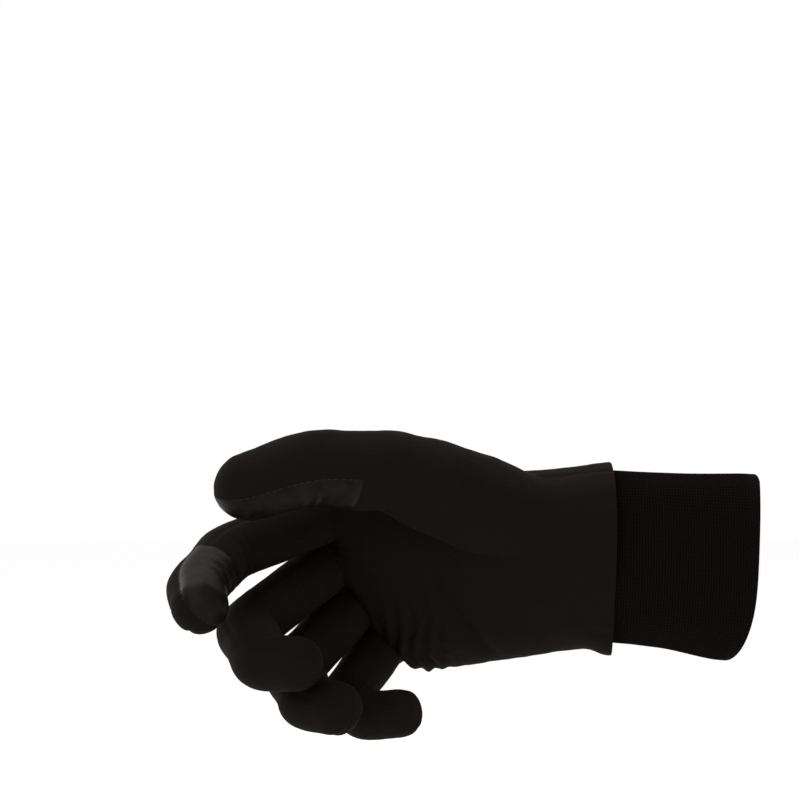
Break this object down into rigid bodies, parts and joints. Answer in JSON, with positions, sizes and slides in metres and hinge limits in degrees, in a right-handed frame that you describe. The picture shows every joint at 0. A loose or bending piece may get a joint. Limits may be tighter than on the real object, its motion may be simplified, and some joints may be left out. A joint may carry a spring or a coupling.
{
  "type": "touchscreen running glove",
  "caption": "Right-hand stretch-jersey glove in a phone grip, with fourchettes between the fingers, touchscreen pads on thumb and index finger, and a folded rib-knit cuff.",
  "frame": {"origin": "centre of the cuff's open end", "axes": "+X out of the cuff along the forearm, +Z to the thumb side, -Y where the palm looks"},
  "size_m": [0.2239, 0.1004, 0.1167],
  "materials": {
    "brushed_jersey": "brushed matt stretch jersey",
    "rib_knit": "matt rib knit",
    "touch_leather": "smooth satin conductive leather",
    "seam_thread": "spun polyester thread",
    "woven_label": "blank woven tape"
  },
  "bodies": {
    "cuff": {"care_label": "woven_label", "rib_knit_cuff": "rib_knit", "wrist_seam_overlock": "seam_thread"},
    "hand": {"back_panel": "brushed_jersey", "palm_panel": "brushed_jersey", "thumb_base_panel": "brushed_jersey"},
    "index_proximal": {"index_proximal_back": "brushed_jersey", "index_proximal_fourchette_ulnar": "brushed_jersey", "index_proximal_palm": "brushed_jersey"},
    "index_middle": {"index_middle_back": "brushed_jersey", "index_middle_fourchette_ulnar": "brushed_jersey", "index_middle_palm": "brushed_jersey"},
    "index_distal": {"index_distal_back": "brushed_jersey", "index_distal_fourchette_ulnar": "brushed_jersey", "index_touch_pad": "touch_leather"},
    "middle_proximal": {"middle_proximal_back": "brushed_jersey", "middle_proximal_fourchette_radial": "brushed_jersey", "middle_proximal_fourchette_ulnar": "brushed_jersey", "middle_proximal_palm": "brushed_jersey"},
    "middle_middle": {"middle_middle_back": "brushed_jersey", "middle_middle_fourchette_radial": "brushed_jersey", "middle_middle_fourchette_ulnar": "brushed_jersey", "middle_middle_palm": "brushed_jersey"},
    "middle_distal": {"middle_distal_back": "brushed_jersey", "middle_distal_fourchette_radial": "brushed_jersey", "middle_distal_fourchette_ulnar": "brushed_jersey", "middle_distal_palm": "brushed_jersey"},
    "ring_proximal": {"ring_proximal_back": "brushed_jersey", "ring_proximal_fourchette_radial": "brushed_jersey", "ring_proximal_fourchette_ulnar": "brushed_jersey", "ring_proximal_palm": "brushed_jersey"},
    "ring_middle": {"ring_middle_back": "brushed_jersey", "ring_middle_fourchette_radial": "brushed_jersey", "ring_middle_fourchette_ulnar": "brushed_jersey", "ring_middle_palm": "brushed_jersey"},
    "ring_distal": {"ring_distal_back": "brushed_jersey", "ring_distal_fourchette_radial": "brushed_jersey", "ring_distal_fourchette_ulnar": "brushed_jersey", "ring_distal_palm": "brushed_jersey"},
    "little_proximal": {"little_proximal_back": "brushed_jersey", "little_proximal_fourchette_radial": "brushed_jersey", "little_proximal_palm": "brushed_jersey"},
    "little_middle": {"little_middle_back": "brushed_jersey", "little_middle_fourchette_radial": "brushed_jersey", "little_middle_palm": "brushed_jersey"},
    "little_distal": {"little_distal_back": "brushed_jersey", "little_distal_fourchette_radial": "brushed_jersey", "little_distal_palm": "brushed_jersey"},
    "thumb_proximal": {"thumb_proximal_back": "brushed_jersey", "thumb_proximal_palm": "brushed_jersey"},
    "thumb_distal": {"thumb_distal_back": "brushed_jersey", "thumb_touch_pad": "touch_leather"}
  },
  "joints": [
    {"name": "wrist_bend", "type": "hinge", "parent": "cuff", "child": "hand", "pos_m": [-0.062, 0, 0.004], "axis": [-0.1219, -0.4037, 0.9067], "range_deg": [-25, 25]},
    {"name": "index_knuckle_bend", "type": "hinge", "parent": "hand", "child": "index_proximal", "pos_m": [-0.16486, -0.00334, 0.02133], "axis": [-0.1564, -0.4017, 0.9023], "range_deg": [-30, 8]},
    {"name": "index_middle_joint_bend", "type": "hinge", "parent": "index_proximal", "child": "index_middle", "pos_m": [-0.20335, -0.02141, 0.00661], "axis": [-0.1564, -0.4017, 0.9023], "range_deg": [-37, 10]},
    {"name": "index_end_joint_bend", "type": "hinge", "parent": "index_middle", "child": "index_distal", "pos_m": [-0.21339, -0.04263, -0.00457], "axis": [-0.1564, -0.4017, 0.9023], "range_deg": [-30, 6.5]},
    {"name": "middle_knuckle_bend", "type": "hinge", "parent": "hand", "child": "middle_proximal", "pos_m": [-0.16521, 0.00507, 0.00121], "axis": [-0.2756, -0.391, 0.8782], "range_deg": [-48, 12]},
    {"name": "middle_middle_joint_bend", "type": "hinge", "parent": "middle_proximal", "child": "middle_middle", "pos_m": [-0.19672, -0.02452, -0.02186], "axis": [-0.2756, -0.391, 0.8782], "range_deg": [-58, 10]},
    {"name": "middle_end_joint_bend", "type": "hinge", "parent": "middle_middle", "child": "middle_distal", "pos_m": [-0.18878, -0.05179, -0.0315], "axis": [-0.2756, -0.391, 0.8782], "range_deg": [-44, 7]},
    {"name": "ring_knuckle_bend", "type": "hinge", "parent": "hand", "child": "ring_proximal", "pos_m": [-0.15682, 0.01331, -0.01605], "axis": [-0.3256, -0.3846, 0.8638], "range_deg": [-58, 10]},
    {"name": "ring_middle_joint_bend", "type": "hinge", "parent": "ring_proximal", "child": "ring_middle", "pos_m": [-0.17936, -0.0184, -0.03867], "axis": [-0.3256, -0.3846, 0.8638], "range_deg": [-48, 10]},
    {"name": "ring_end_joint_bend", "type": "hinge", "parent": "ring_middle", "child": "ring_distal", "pos_m": [-0.17206, -0.04401, -0.04732], "axis": [-0.3256, -0.3846, 0.8638], "range_deg": [-30, 7]},
    {"name": "little_knuckle_bend", "type": "hinge", "parent": "hand", "child": "little_proximal", "pos_m": [-0.14469, 0.02008, -0.03126], "axis": [-0.3907, -0.3744, 0.8409], "range_deg": [-63, 8]},
    {"name": "little_middle_joint_bend", "type": "hinge", "parent": "little_proximal", "child": "little_middle", "pos_m": [-0.15974, -0.00663, -0.05014], "axis": [-0.3907, -0.3744, 0.8409], "range_deg": [-53, 10]},
    {"name": "little_end_joint_bend", "type": "hinge", "parent": "little_middle", "child": "little_distal", "pos_m": [-0.15127, -0.02533, -0.05453], "axis": [-0.3907, -0.3744, 0.8409], "range_deg": [-35, 7]},
    {"name": "thumb_knuckle_bend", "type": "hinge", "parent": "hand", "child": "thumb_proximal", "pos_m": [-0.13973, -0.03453, 0.03761], "axis": [0.3361, -0.912, -0.2351], "range_deg": [-17, 8]},
    {"name": "thumb_end_joint_bend", "type": "hinge", "parent": "thumb_proximal", "child": "thumb_distal", "pos_m": [-0.17236, -0.04704, 0.03949], "axis": [0.3361, -0.912, -0.2351], "range_deg": [-20, 12]}
  ],
  "couplings": [
    {"joint": "index_end_joint_bend", "follows": "index_middle_joint_bend", "ratio": 0.65},
    {"joint": "middle_end_joint_bend", "follows": "middle_middle_joint_bend", "ratio": 0.7},
    {"joint": "ring_end_joint_bend", "follows": "ring_middle_joint_bend", "ratio": 0.62},
    {"joint": "little_end_joint_bend", "follows": "little_middle_joint_bend", "ratio": 0.66}
  ]
}
